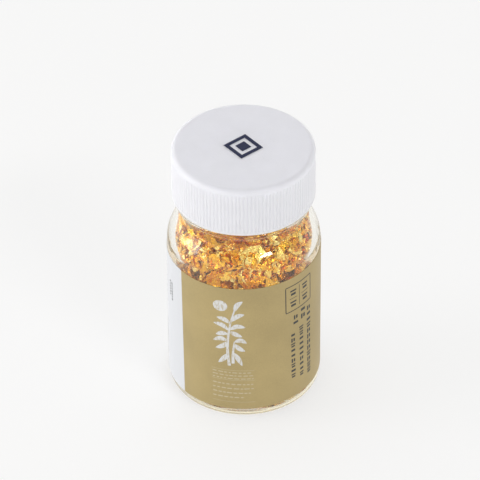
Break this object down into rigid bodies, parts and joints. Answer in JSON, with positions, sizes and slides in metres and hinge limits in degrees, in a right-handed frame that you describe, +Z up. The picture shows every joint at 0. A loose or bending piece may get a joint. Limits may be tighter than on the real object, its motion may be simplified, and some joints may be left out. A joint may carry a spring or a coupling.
{
  "type": "glass sample vial",
  "caption": "Round clear-glass sample vial full of loose gold-leaf flakes, with a wrap-round label and a ribbed white screw cap that unscrews and lifts off.",
  "frame": {"origin": "centre of the base, on the plane of the ring that the vial stands on", "axes": "+Z up along the bottle's axis, from the base to the cap; -Y towards the front of the label; +X to the right when the label is read"},
  "size_m": [0.0402, 0.0401, 0.0754],
  "materials": {
    "clear_glass": "polished clear soda-lime glass",
    "gold_paper": "satin khaki-gold print on paper, with a white panel",
    "gold_leaf": "bright crumpled gold leaf",
    "liner_foam": "matt white foamed sheet",
    "white_plastic": "satin white moulded polypropylene",
    "clear_film": "gloss clear film"
  },
  "bodies": {
    "vial": {"bottle": "clear_glass", "wrap_label": "gold_paper", "gold_flakes": "gold_leaf"},
    "liner": {"cap_liner": "liner_foam"},
    "cap": {"screw_cap": "white_plastic", "cap_sticker": "clear_film"}
  },
  "joints": [
    {"name": "cap_lift", "type": "slide", "parent": "vial", "child": "liner", "axis": [0, 0, 1], "range_m": [0, 0.013]},
    {"name": "cap_turn", "type": "hinge", "parent": "liner", "child": "cap", "pos_m": [0, 0, 0.073], "axis": [0, 0, 1], "range_deg": [0, 1170]}
  ],
  "couplings": [
    {"joint": "cap_lift", "follows": "cap_turn", "m_per_rad": 0.00063662}
  ]
}
